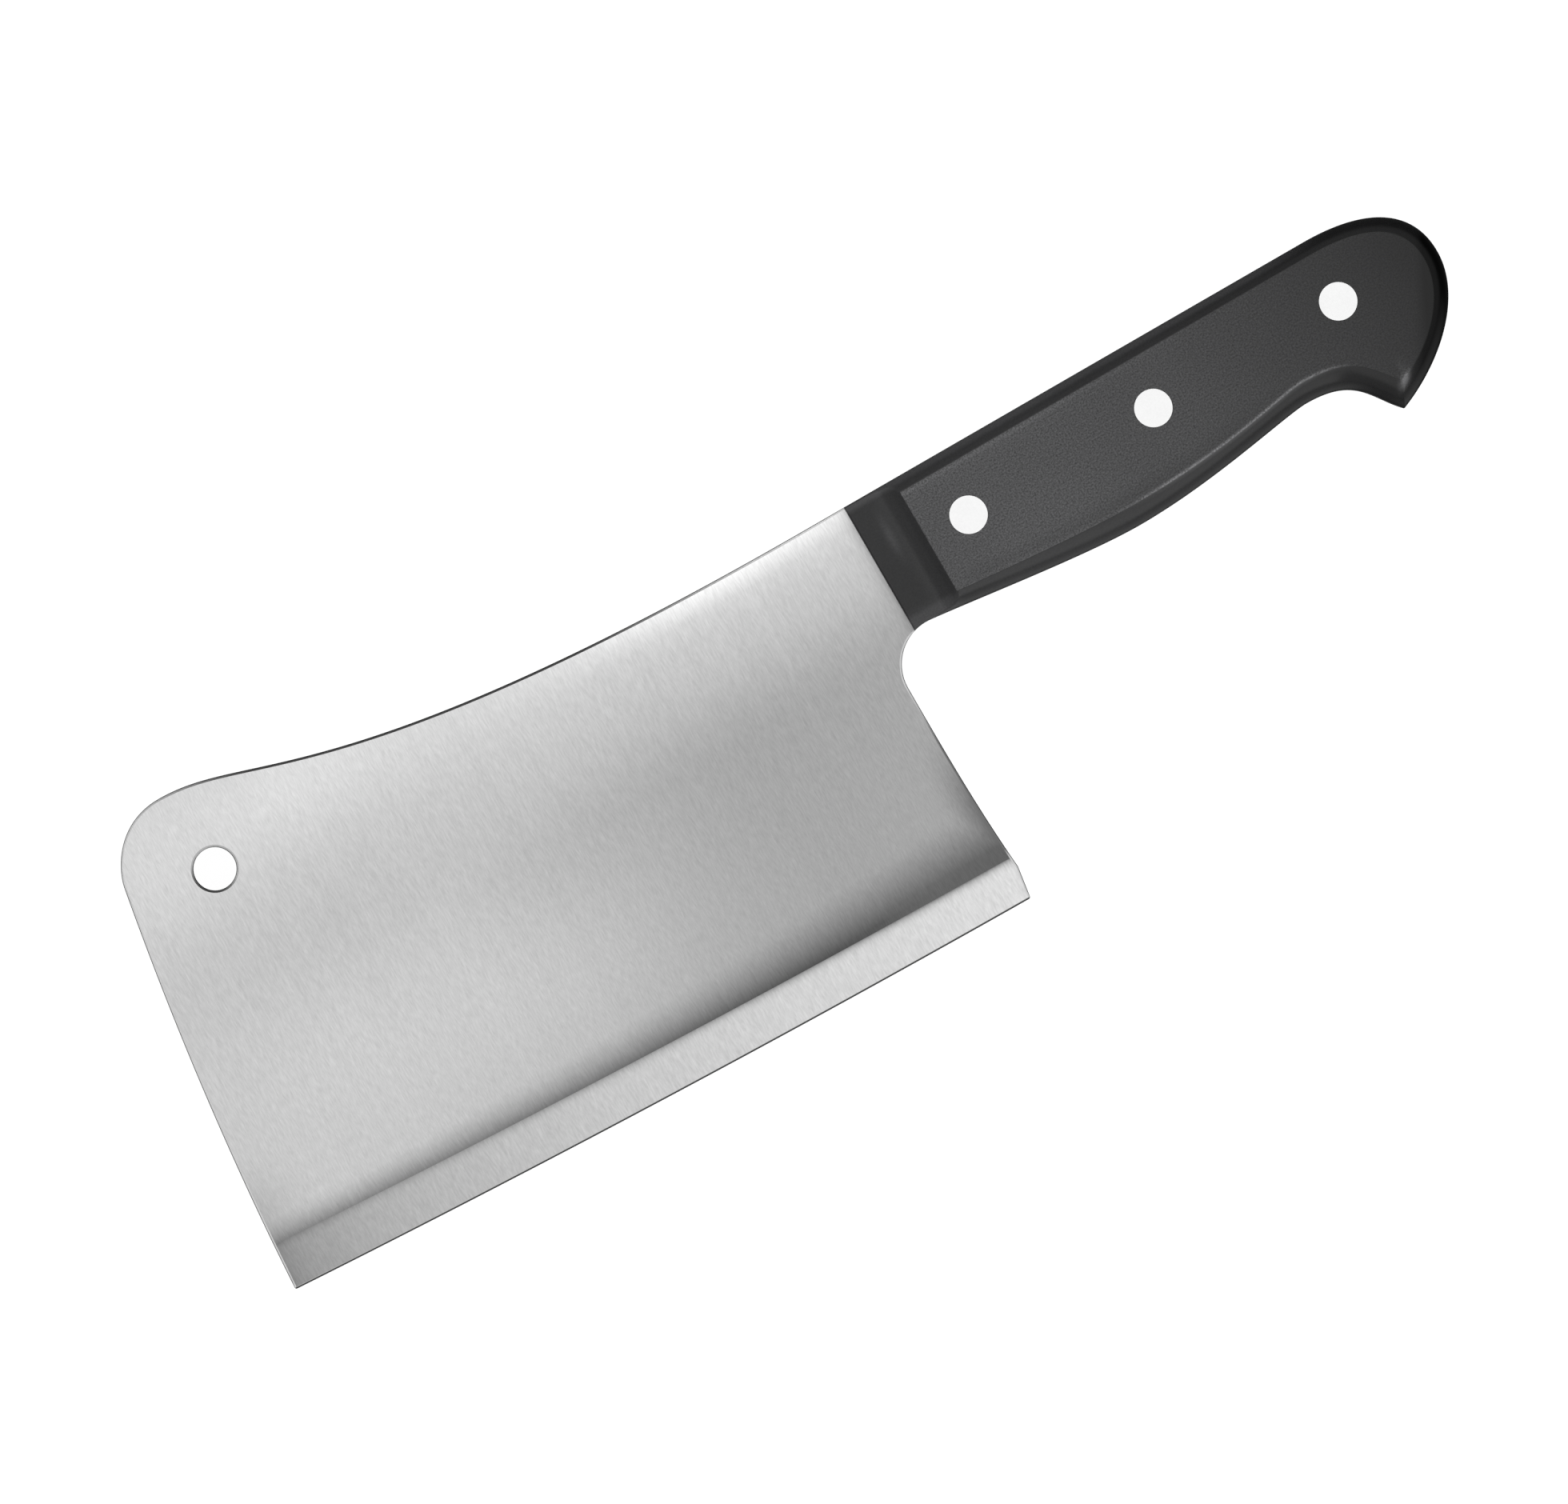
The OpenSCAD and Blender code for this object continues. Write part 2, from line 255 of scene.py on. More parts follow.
def shoulder_w(p):
    """Width of the soft shoulder above the bevel, which widens towards the heel."""
    toe_w, heel_w = 4.0, 10.5
    return toe_w + (heel_w - toe_w) * toe_to_heel(p) ** 1.5


def smooth(t):
    """Eases from 0 to 1 as t does."""
    t = np.clip(t, 0, 1)
    return t * t * (3 - 2 * t)


shoulder_fall = 0.16    # how far the soft shoulder has fallen at the top of the bevel
heel_fall = 0.10        # and at the back of the heel
heel_fall_w = 9.0       # width of that fall
heel_fall_top = -36.0   # it starts at this height
heel_fall_h = 18.0      # and is full this far below


def side_z(p):
    """Half thickness of the plate at these points."""
    slope = (plate_t - shoulder_t) / 2 / (nose_rise + heel_drop - bevel_heel_h)
    flank = plate_t / 2 - slope * (nose_rise - p[..., 1])
    above = from_edge(p) - bevel_h(p)
    flank = flank - shoulder_fall * np.clip(1 - above / shoulder_w(p), 0, 1) ** 2
    near_heel = np.clip(1 - (heel_widest[0] - p[..., 0]) / heel_fall_w, 0, 1) ** 2
    flank = flank - heel_fall * near_heel * smooth((heel_fall_top - p[..., 1]) / heel_fall_h)
    share = np.clip(from_edge(p) / bevel_h(p), 0, 1)
    return edge_t / 2 + (flank - edge_t / 2) * share


def circle(centre, r, sides):
    """A hole's loop, clockwise, so that the steel lies to its left."""
    turn = -2 * pi * np.arange(sides) / sides
    return centre + r * np.stack([np.cos(turn), np.sin(turn)], axis=1)


def eased_rings(points, ease):
    """Rings from the flat out to a loop's edge, as (points, drop below the side)."""
    honed_fall, flat_reach = 0.1, 1.5
    along = np.roll(points, -1, axis=0) - np.roll(points, 1, axis=0)
    into = np.stack([-along[:, 1], along[:, 0]], axis=1)
    into /= np.linalg.norm(into, axis=1)[:, None]
    for _ in range(3):
        ease = (np.roll(ease, 1) + ease + np.roll(ease, -1)) / 3
    fall = np.minimum(ease, np.where(from_edge(points) < 0.5, honed_fall, 1.0))
    rings = [(points + into * (ease * (1 - sin(a)))[:, None], fall * (1 - cos(a)))
             for a in np.linspace(0, pi / 2, 6)]
    return [(points + into * (flat_reach * ease)[:, None], 0 * ease), *rings]


def inside(p, loop):
    """Whether each point lies inside a loop."""
    a, b = loop, np.roll(loop, -1, axis=0)
    x, y = p[:, 0, None], p[:, 1, None]
    rise = np.where(b[:, 1] == a[:, 1], 1e-12, b[:, 1] - a[:, 1])
    crosses = (a[:, 1] > y) != (b[:, 1] > y)
    left = x < a[:, 0] + (y - a[:, 1]) / rise * (b[:, 0] - a[:, 0])
    return (crosses & left).sum(axis=1) % 2 == 1


def to_object(name, points, faces, places=None):
    """A mesh object in the frame, from drafted points. places gives each face's material."""
    mesh = bpy.data.meshes.new(name)
    mesh.from_pydata([origin + Vector(p) * mm for p in points], [], faces)
    if places is not None:
        mesh.polygons.foreach_set("material_index", places)
    welded = bmesh.new()
    welded.from_mesh(mesh)
    bmesh.ops.remove_doubles(welded, verts=welded.verts, dist=1e-6)
    bmesh.ops.dissolve_degenerate(welded, edges=welded.edges, dist=1e-7)
    slits = [edge for edge in welded.edges if edge.is_boundary]
    bmesh.ops.holes_fill(welded, edges=slits, sides=3)
    bmesh.ops.recalc_face_normals(welded, faces=welded.faces)
    welded.to_mesh(mesh)
    welded.free()
    mesh.shade_smooth()
    piece = bpy.data.objects.new(name, mesh)
    bpy.context.scene.collection.objects.link(piece)
    return piece


def even_normals(piece):
    """Lets the large faces set the shading, so that flats stay flat beside eased edges."""
    weighted = piece.modifiers.new("even_normals", "WEIGHTED_NORMAL")
    weighted.mode = "FACE_AREA"
    weighted.keep_sharp = True


def drafted(mesh):
    """Where each point of a mesh lies in the draft."""
    return np.array([((v.co - origin) / mm)[:2] for v in mesh.vertices])


def clear_of(p, loops, gap):
    """Whether each point lies further than this gap from every loop."""
    far = np.ones(len(p), bool)
    for loop in loops:
        far &= np.linalg.norm(p[:, None] - loop[None], axis=2).min(axis=1) > gap
    return far


line_gap = 0.5          # other points keep this far from the line of the bevel


def bevel_line(flats):
    """The line where the bevel meets the side, from the front of the blade to its heel."""
    mid_edge = np.array([-80, -74])
    turn = np.linspace(-0.2, 0.2, 4001) + atan2(*(mid_edge - edge_centre)[::-1])
    line = edge_centre + edge_r * np.stack([np.cos(turn), np.sin(turn)], axis=1)
    line = line[(line[:, 0] > toe[0] - 2) & (line[:, 0] < heel[0] + 2)][::6]
    line = edge_centre + (line - edge_centre) * (1 - bevel_h(line) / edge_r)[:, None]
    line = line[inside(line, flats[0])]
    return line[clear_of(line, flats, line_gap)]


def side_spots(flats):
    """Points spread over a side, closest low on the blade, where its slope turns."""
    fine_step, coarse_step, fine_top, fine_back = 1.5, 4.0, -40, 20
    spots = []
    for step, low, high in ((fine_step, -82, fine_top), (coarse_step, fine_top, nose_rise)):
        xs, ys = np.meshgrid(np.arange(-blade_l, handle_l, step), np.arange(low, high, step))
        grid = np.stack([xs.ravel(), ys.ravel()], axis=1)
        off_line = np.abs(from_edge(grid) - bevel_h(grid)) > line_gap
        wanted = (low == fine_top) | (grid[:, 0] < fine_back)
        grid = grid[inside(grid, flats[0]) & off_line & wanted]
        for flat in flats[1:]:
            grid = grid[~inside(grid, flat)]
        spots.append(grid[clear_of(grid, flats, 0.6 * step)])
    return spots


def fill_side(flats, line, ends):
    """Fills a side with triangles between its loops, with edges along the bevel's line.

    Gives the points, the triangles and where the points of each loop have gone.
    """
    xy, edges, loop_ids = [], [], []
    for flat in flats:
        ids = np.arange(len(flat)) + sum(len(f) for f in xy)
        loop_ids.append(ids)
        edges += list(zip(ids.tolist(), np.roll(ids, -1).tolist()))
        xy.append(flat)
    line_ids = np.arange(len(line)) + sum(len(f) for f in xy)
    crease = [ends[0], *line_ids.tolist(), ends[1]]
    edges += list(zip(crease[:-1], crease[1:]))
    xy = np.concatenate([*xy, line, *side_spots(flats)])
    made = delaunay_2d_cdt([Vector(p) for p in xy], edges, [], 0, 1e-7, True)
    new_id = {old: new for new, olds in enumerate(made[3]) for old in olds}
    xy = np.array([tuple(p) for p in made[0]])
    triangles = np.array(made[2])
    middle = xy[triangles].mean(axis=1)
    kept = inside(middle, flats[0])
    for flat in flats[1:]:
        kept &= ~inside(middle, flat)
    return xy, triangles[kept], [[new_id[i] for i in ids] for ids in loop_ids]


def keep_crisp(mesh, spots):
    """Marks the edges that join these points as sharp."""
    place = drafted(mesh)
    near = np.zeros(len(place), bool)
    for spot in spots:
        near |= np.linalg.norm(place - spot, axis=1) < 1e-3
    sharp = mesh.attributes.new("sharp_edge", "BOOLEAN", "EDGE")
    sharp.data.foreach_set("value", [bool(near[e.vertices[0]] and near[e.vertices[1]])
                                     for e in mesh.edges])


def build_blade():
    """The plate: two filled sides, eased edges and the walls between them."""
    hole_ease, bore_ease = 0.3, 0.02
    loops = [plate_outline()]
    hole = circle(hang_hole, hang_hole_r, 72)
    loops.append((hole, np.full(len(hole), hole_ease)))
    for x in rivet_places.values():
        bore = circle(np.array([x, -rivet_drop]), tube_hole_r, 40)
        loops.append((bore, np.full(len(bore), bore_ease)))
    rings = [eased_rings(points, r) for points, r in loops]
    flats = [ring[0][0] for ring in rings]
    line = bevel_line(flats)
    ends = [int(np.argmin(np.linalg.norm(flats[0] - p, axis=1))) for p in (line[0], line[-1])]
    side_xy, triangles, loop_ids = fill_side(flats, line, ends)
    middle = side_xy[triangles].mean(axis=1)
    is_bevel = from_edge(middle) < bevel_h(middle)

    # Faces take their finish by number: 0 side, 1 bevel, 2 eased edge, 3 wall.
    points, faces, places, last_rows = [], [], [], {}

    def add(p, z):
        first = len(points)
        points.extend((*q, h) for q, h in zip(p.tolist(), np.broadcast_to(z, len(p)).tolist()))
        return np.arange(first, first + len(p))

    def band(lower, upper, finish):
        quads = zip(lower, np.roll(lower, -1), np.roll(upper, -1), upper)
        faces.extend(tuple(int(i) for i in quad) for quad in quads)
        places.extend([finish] * len(lower))

    for side in (1, -1):
        flat_ids = add(side_xy, side * side_z(side_xy))
        faces.extend(tuple(int(flat_ids[i]) for i in tri) for tri in triangles)
        places.extend(is_bevel.astype(int).tolist())
        for n, ring in enumerate(rings):
            row = flat_ids[loop_ids[n]]
            for p, drop in ring[1:]:
                outer = add(p, side * (side_z(p) - drop))
                band(outer, row, 2)
                row = outer
            last_rows[side, n] = row
    for n in range(len(rings)):
        band(last_rows[-1, n], last_rows[1, n], 3)
    piece = to_object("blade_ground", points, faces, places)
    keep_crisp(piece.data, np.concatenate([line, flats[0][ends]]))
    return piece


def store_value(mesh, name, values):
    """Stores one value for each point of a mesh, for its material to read."""
    stored = mesh.attributes.new(name, "FLOAT", "POINT")
    stored.data.foreach_set("value", np.asarray(values, dtype=np.float32))


blade = build_blade()
even_normals(blade)
on_plate = drafted(blade.data)
plate_x, plate_y = on_plate.T
above_bevel = from_edge(on_plate) - bevel_h(on_plate)
along_blade = np.clip((plate_x + blade_l) / blade_l, 0, 1)


def rises(value, start, run):
    """0 up to start, then eases to 1 over a run, which is negative to rise the other way."""
    return smooth((value - start) / run)


# Painted shade: the soft shoulder is darkened in a band that is wider and more even near the
# heel, where it turns up the back of the blade.
shade_reach = 1.15      # how far the dark band goes past the shoulder
heel_band = 8.0         # width of its upturned end
shoulder = np.clip(1 - above_bevel / (shade_reach * shoulder_w(on_plate)), 0, 1)
shoulder **= 1.4 - 0.5 * along_blade**3
shoulder = np.minimum(shoulder, 1 - 0.22 * rises(plate_x, -45, 25))
back_of_heel = np.clip(1 - (heel_widest[0] - plate_x) / heel_band, 0, 1) ** 1.5
back_of_heel *= rises(plate_y, -42, -20) * (plate_x < 0)
store_value(blade.data, "shoulder", np.maximum(shoulder, 0.85 * back_of_heel))
store_value(blade.data, "along", along_blade)

# Painted light and shade: the sides' colour is lighter towards the back and darker low down by
# the handle, standing in for how the light falls on them. Its patches are given as how much
# brighter, then middle x and y, half width and half height.
painted_side_patches = {
    "back by the handle": (0.85, -22, 2, 31, 4.2),
    "back behind the nose": (0.12, -105, 8, 30, 9),
    "middle of the front half": (0.05, -125, -42, 30, 14),
    "below the hanging hole": (-0.05, -125, -20, 40, 8),
    "middle of the blade": (-0.06, -80, -28, 25, 10),
    "above the bevel": (-0.05, -90, -62, 35, 6),
    "above the toe": (-0.24, -161, -60, 8, 8),
}
# Painted light and shade, laid over the brushing.
painted_light_and_shade = 1 + 0.14 * rises(plate_y, -14, 20)
painted_light_and_shade -= 0.33 * rises(plate_x, -105, 75) * rises(plate_y, -8, -22)
for gain, x, y, wide, high in painted_side_patches.values():
    painted_light_and_shade += gain * np.exp(-((plate_x - x) / wide) ** 2 - ((plate_y - y) / high) ** 2)
store_value(blade.data, "painted_light_and_shade", painted_light_and_shade)

# Painted shade darkens the eased corners along the back, the cutting edge, the heel and the lower
# left of the hanging hole more than the others.
back_corner = rises(plate_x, -152, 34) * rises(plate_x, -8, -50) * (plate_y > -4)
edge_corner = from_edge(on_plate) < 0.3
heel_corner = 0.8 * rises(plate_y, -34, -14) * rises(plate_x, -40, 20) * rises(above_bevel, 0, 2)
corner = np.maximum(np.maximum(back_corner, edge_corner), heel_corner)
from_hole = on_plate - hang_hole
round_hole = np.arctan2(from_hole[:, 1], from_hole[:, 0]) - radians(228)
hole_corner = 0.3 + 0.7 * rises(np.cos(round_hole), -0.1, 1.1)
at_hole = np.linalg.norm(from_hole, axis=1) < hang_hole_r + 0.6
store_value(blade.data, "corner", np.where(at_hole, hole_corner, corner))


def new_material(name):
    """A material, its nodes and its shader."""
    material = bpy.data.materials.new(name)
    material.use_nodes = True
    return material, material.node_tree, material.node_tree.nodes["Principled BSDF"]


def node(tree, kind, inputs=(), **settings):
    """Adds a node. Each input is a number or the socket that feeds it."""
    made = tree.nodes.new(kind)
    for key, value in settings.items():
        setattr(made, key, value)
    for key, value in dict(inputs).items():
        if isinstance(value, bpy.types.NodeSocket):
            tree.links.new(value, made.inputs[key])
        else:
            made.inputs[key].default_value = value
    return made


def calc(tree, operation, a, b):
    """One sum on two values."""
    return node(tree, "ShaderNodeMath", {0: a, 1: b}, operation=operation).outputs[0]


def remap(tree, value, low, high, to_low, to_high):
    """Turns values between low and high into values between to_low and to_high."""
    made = node(tree, "ShaderNodeMapRange", {"Value": value, "From Min": low, "From Max": high,
                                             "To Min": to_low, "To Max": to_high})
    return made.outputs["Result"]


def vary(tree, grey, value, amount):
    """Varies a grey by this share of it, up and down with a noise."""
    return calc(tree, "MULTIPLY", grey, remap(tree, value, 0.3, 0.7, 1 - amount, 1 + amount))


def grey_colour(tree, grey, blue=1.0):
    """A grey as a colour, with its blue raised by this factor."""
    blue_part = grey if blue == 1.0 else calc(tree, "MULTIPLY", grey, blue)
    made = node(tree, "ShaderNodeCombineColor", {"Red": grey, "Green": grey, "Blue": blue_part})
    return made.outputs[0]


def bumped(tree, height, depth):
    """The normal of a surface whose relief goes this many metres deep."""
    made = node(tree, "ShaderNodeBump", {"Height": height, "Distance": depth, "Strength": 1.0})
    return made.outputs[0]


def new_group(name, inputs, outputs):
    """An empty node group, with the sockets that its nodes take from and give to."""
    group = bpy.data.node_groups.new(name, "ShaderNodeTree")
    for label, value in inputs.items():
        socket = group.interface.new_socket(label, in_out="INPUT", socket_type="NodeSocketFloat")
        socket.default_value = value
    for label in outputs:
        group.interface.new_socket(label, in_out="OUTPUT", socket_type="NodeSocketFloat")
    return group, group.nodes.new("NodeGroupInput").outputs, group.nodes.new("NodeGroupOutput")


def use_group(tree, group, inputs):
    """Places a group with its own values."""
    placed = node(tree, "ShaderNodeGroup", node_tree=group)
    for key, value in inputs.items():
        placed.inputs[key].default_value = value
    return placed.outputs


def noise(tree, vector, detail, rough):
    """Soft noise from 0 to 1, one bump to each unit of the vector."""
    made = node(tree, "ShaderNodeTexNoise", {"Vector": vector, "Scale": 1.0, "Detail": detail,
                                             "Roughness": rough})
    return made.outputs["Fac"]


# Lines left by an abrasive belt, which run across the blade. Across and Along say how many
# lines there are to a metre in each direction.
belt_lines, given, result = new_group("belt_lines", {"Across": 3000.0, "Along": 90.0},
                                      ["Lines", "Streaks"])
where = node(belt_lines, "ShaderNodeTexCoord").outputs["Object"]
across = node(belt_lines, "ShaderNodeCombineXYZ", {0: given["Across"], 1: given["Along"],
                                                   2: given["Across"]}).outputs[0]
lines = node(belt_lines, "ShaderNodeVectorMath", {0: where, 1: across}, operation="MULTIPLY")
belt_lines.links.new(noise(belt_lines, lines.outputs[0], 3.0, 0.6), result.inputs["Lines"])
wider = node(belt_lines, "ShaderNodeVectorMath", {0: lines.outputs[0], 1: (0.22, 0.02, 0.22)},
             operation="MULTIPLY")
belt_lines.links.new(noise(belt_lines, wider.outputs[0], 3.0, 0.6), result.inputs["Streaks"])

# Soft clouding of a handled surface, with finger marks a few centimetres wide.
handled, given, result = new_group("handled", {"Size": 0.03}, ["Clouds"])
where = node(handled, "ShaderNodeTexCoord").outputs["Object"]
inverse = calc(handled, "DIVIDE", 1.0, given["Size"])
spread = node(handled, "ShaderNodeVectorMath", {0: where, "Scale": inverse}, operation="SCALE")
handled.links.new(noise(handled, spread.outputs[0], 4.0, 0.55), result.inputs["Clouds"])


def steel(name, tone, rough, across, along, grain, depth, shade=None):
    """Ground stainless steel. tone is its grey, and depth how far the lines are cut in."""
    material, tree, shader = new_material(name)
    lines = use_group(tree, belt_lines, {"Across": across, "Along": along})
    clouds = use_group(tree, handled, {"Size": 0.03})["Clouds"]
    grey = remap(tree, lines["Lines"], 0.25, 0.75, 1 - grain, 1 + grain)
    grey = vary(tree, grey, lines["Streaks"], 0.025)
    grey = vary(tree, grey, clouds, 0.015)
    grey = calc(tree, "MULTIPLY", grey, tone)
    if shade:
        grey = calc(tree, "MULTIPLY", grey, shade(tree))
    tree.links.new(grey_colour(tree, grey), shader.inputs["Base Color"])
    shader.inputs["Metallic"].default_value = 1.0
    roughness = remap(tree, lines["Streaks"], 0.3, 0.7, rough - 0.008, rough + 0.008)
    tree.links.new(roughness, shader.inputs["Roughness"])
    tree.links.new(bumped(tree, lines["Lines"], depth), shader.inputs["Normal"])
    return material


def stored(tree, name):
    """Reads a value that store_value has put on the mesh."""
    return node(tree, "ShaderNodeAttribute", attribute_name=name).outputs["Fac"]


def flank_shade(tree):
    """Painted shade darkens the sides into the soft shoulder above the bevel, most by the heel,
    under the painted light and shade of the side patches.
    """
    # How deep the painted shade goes, from toe to heel.
    painted_shade_depth = remap(tree, stored(tree, "along"), 0, 1, 0.58, 0.89)
    shade = calc(tree, "SUBTRACT", 1.0, calc(tree, "MULTIPLY", stored(tree, "shoulder"), painted_shade_depth))
    return calc(tree, "MULTIPLY", shade, stored(tree, "painted_light_and_shade"))


def bevel_shade(tree):
    """Painted light makes the bevel brighter towards the heel, and painted shade darkens its top
    where it meets the side.
    """
    toe_bright, heel_bright = 0.3, 1.09
    blend_from = 0.7
    along = stored(tree, "along")
    # Painted light, from dull at the toe to bright at the heel.
    bright = calc(tree, "POWER", along, 0.4)
    bright = calc(tree, "MULTIPLY", bright, heel_bright - toe_bright)
    bright = calc(tree, "ADD", bright, toe_bright)
    where = node(tree, "ShaderNodeTexCoord").outputs["Object"]
    level = node(tree, "ShaderNodeVectorMath", {0: where, 1: (1, 1, 0)}, operation="MULTIPLY")
    centre = (origin.x + edge_centre[0] * mm, origin.y + edge_centre[1] * mm, 0)
    away = node(tree, "ShaderNodeVectorMath", {0: level.outputs[0], 1: centre},
                operation="DISTANCE").outputs["Value"]
    height = calc(tree, "SUBTRACT", edge_r * mm, away)
    full = remap(tree, along, 0, 1, bevel_toe_h * mm, bevel_heel_h * mm)
    share = calc(tree, "DIVIDE", height, full)
    # Painted shade near the top of the bevel.
    blend = calc(tree, "POWER", remap(tree, share, blend_from, 1, 0, 1), 3.0)
    fade = calc(tree, "MULTIPLY", blend, remap(tree, along, 0.1, 0.9, 0.3, 0.75))
    return calc(tree, "MULTIPLY", bright, calc(tree, "SUBTRACT", 1.0, fade))


def corner_shade(tree):
    """Painted shade on the eased corners, as dark as their stored corner value says."""
    return remap(tree, stored(tree, "corner"), 0, 1, 1.0, 0.1)


# In the order of the finish numbers: the sides, the bevel, the eased edges and the walls.
for finish in (
    steel("satin_steel", tone=0.485, rough=0.32, across=4000, along=560, grain=0.12,
          depth=4e-7, shade=flank_shade),
    steel("ground_steel", tone=0.56, rough=0.36, across=3000, along=450, grain=0.13,
          depth=6e-7, shade=bevel_shade),
    steel("eased_steel", tone=0.5, rough=0.42, across=2400, along=300, grain=0.08,
          depth=4e-7, shade=corner_shade),
    steel("edge_steel", tone=0.6, rough=0.34, across=2400, along=300, grain=0.12, depth=8e-7),
):
    blade.data.materials.append(finish)
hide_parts("blade")
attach(blade, "root")

# ==== Handle scales ========================================================================
# Two black plastic mouldings, one on each side of the tang. Each has a flat outer face, a
# rounded margin and a thinner neck in front of a hollow step, and is bored for three rivets.

scale_t = 8.0
wall_h = 3.0            # height of the straight wall beside the tang
back_margin = 2.9       # width of the margin along the back
palm_margin = 4.5       # and under the palm
margin_turn = radians(62)
margin_bands = 16       # bands of faces that make up each margin
neck_t = 4.5            # height of the neck
step_in = 10.4          # length of the neck and the step behind it
step_r = 8.0            # radius of the hollow step
step_run = sqrt(step_r**2 - (step_r - (scale_t - neck_t)) ** 2)
face_ease = 1.0         # how far the edge of the flat is eased
front_ease = 0.6        # and the front end of the neck
head_r = 3.6            # rivet head
head_t = 1.5
head_gap = 0.04         # the head's seat is this much wider
head_seat = plate_t / 2 + scale_t - head_t
face_z = plate_t / 2 + scale_t

# The flat's own palm, hollow, hook and butt, each inside that of the rim.
face_palm = np.array([rim_palm[0], palm_margin + rim_palm[1] - 0.5])
face_hold = 0.58
face_hollow = rim_hollow + [1.2, back_margin + (palm_margin - back_margin) * 0.6]
face_hook = rim_hook + [2.3, 1.65 * back_margin]
face_butt = rim_butt - [back_margin + 0.2, 0]


def soft_min(a, b, k):
    """The lower of two heights, with a round of about k where they cross."""
    close = np.clip(1 - np.abs(a - b) / k, 0, 1)
    return np.minimum(a, b) - close * close * k / 4


def neck_top(x, y):
    """Height of the neck, its rounded front end and the hollow step behind it."""
    mid_y, half_w, crown_h = -12.5, 13.0, 0.12
    crown = crown_h * ((y - mid_y) / half_w) ** 2
    rise = step_r - np.sqrt(np.clip(step_r**2 - np.clip(x - step_in + step_run, 0, None) ** 2,
                                    0.01, None))
    front = front_ease - np.sqrt(np.clip(front_ease**2 - np.clip(front_ease - x, 0, None) ** 2,
                                         0, None))
    height = neck_t - crown * (1 - smooth((x - 4) / 6.4)) + rise - front
    return np.where(x >= step_in, scale_t + 10 * (x - step_in), height)


def scale_columns():
    """Matching points along the rim and the face, below and above, from front to butt."""
    face_lip = np.stack([lip[:, 0], np.full(len(lip), back_margin - grip_front_h)], axis=1)
    steps, turns = 120, 48
    rim_low = np.concatenate([lip, underside(lip[-1], rim_palm, rim_hollow, rim_hook, steps,
                                             rim_hold)])
    face_low = np.concatenate([face_lip, underside(face_lip[-1], face_palm, face_hollow,
                                                   face_hook, steps, face_hold)])
    # Columns stand closest at the front end, in the step and by the hook.
    xs = np.concatenate([
        [0, 0.03, 0.09, 0.18, 0.3, 0.45, 0.6], np.arange(0.9, 9.9, 0.3),
        np.arange(9.9, step_in - 0.3, 0.15), np.arange(step_in - 0.24, step_in + 0.01, 0.06),
        [step_in + 0.1, step_in + 0.4, step_in + 0.8], np.arange(step_in + 1.4, 80, 1.0),
        np.arange(80, rim_hook[0] - 0.3, 0.5), [rim_hook[0]],
    ])
    rim_y = np.interp(xs, rim_low[:, 0], rim_low[:, 1])
    face_x = np.interp(xs, rim_low[:, 0], face_low[:, 0])
    face_y = np.interp(xs, rim_low[:, 0], face_low[:, 1])
    lean = (rim_hook[0] - back_l) / (rim_hook[0] - rim_palm[0])
    back_x = xs - np.clip(xs - rim_palm[0], 0, None) * lean
    rim_l, face_l = np.stack([xs, rim_y], 1), np.stack([face_x, face_y], 1)
    rim_u = np.stack([back_x, np.zeros(len(xs))], 1)
    face_u = np.stack([back_x, np.full(len(xs), -back_margin)], 1)
    rim_l = np.concatenate([rim_l, butt_lower(rim_hook, rim_butt, turns)[1:]])
    face_l = np.concatenate([face_l, butt_lower(face_hook, face_butt, turns)[1:]])
    rim_u = np.concatenate([rim_u, butt_upper(0.0, rim_butt, turns)[1:]])
    face_u = np.concatenate([face_u, butt_upper(-back_margin, face_butt, turns)[1:]])
    return rim_l, face_l, rim_u, face_u


def margin_rows(rim, face):
    """Rows of points up the wall and over the margin, and round its edge onto the flat."""
    ease_from = margin_turn - radians(3)
    into = (face - rim) / np.linalg.norm(face - rim, axis=1)[:, None]
    rows = [(rim, 0.0), (rim, 0.1), (rim, wall_h * 0.5), (rim, wall_h)]
    for a in np.linspace(0, ease_from, 12)[1:]:
        share = (1 - cos(a)) / (1 - cos(margin_turn))
        z = wall_h + (scale_t - wall_h) * sin(a) / sin(margin_turn)
        rows.append((rim + (face - rim) * share, z))
    (a, a_z), b, c = rows[-1], face, face + into * face_ease
    for t in np.linspace(0, 1, 9)[1:]:
        rows.append(((1 - t) ** 2 * a + 2 * t * (1 - t) * b + t * t * c,
                     (1 - t) ** 2 * a_z + (1 - (1 - t) ** 2) * scale_t))
    return rows


def build_scale(name, side):
    """One scale before boring. Faces are numbered 0 on the flat, 1 on margins and neck."""
    rim_l, face_l, rim_u, face_u = scale_columns()
    low, high = margin_rows(rim_l, face_l), margin_rows(rim_u, face_u)
    rows = list(low)
    for t in np.linspace(0, 1, 9)[1:-1]:
        rows.append((low[-1][0] * (1 - t) + high[-1][0] * t, scale_t))
    rows += high[::-1]
    points = []
    for row, (p, z) in enumerate(rows):
        z = np.broadcast_to(z, len(p))
        blend = 0.9 - 0.35 * smooth((p[:, 0] - 7) / 3.2)
        z = soft_min(z, neck_top(p[:, 0], p[:, 1]), blend)
        z = np.where(rows[row][1] == 0.0, 0.0, z)
        points += [(*q, side * (plate_t / 2 + h)) for q, h in zip(p.tolist(), z.tolist())]
    count = len(rim_l)
    faces, places = [], []
    for r in range(len(rows) - 1):
        on_margin = min(r, len(rows) - 2 - r) < margin_bands
        for c in range(count - 1):
            a = r * count + c
            faces.append((a, a + 1, a + count + 1, a + count))
            places.append(int(on_margin or rim_l[c + 1, 0] < step_in + 0.01))
    top = (len(rows) - 1) * count
    faces += [(c, c + 1, top + c + 1, top + c) for c in range(count - 1)]
    faces.append(tuple(r * count for r in range(len(rows))))
    places += [1] * count
    return to_object(name, points, faces, places)


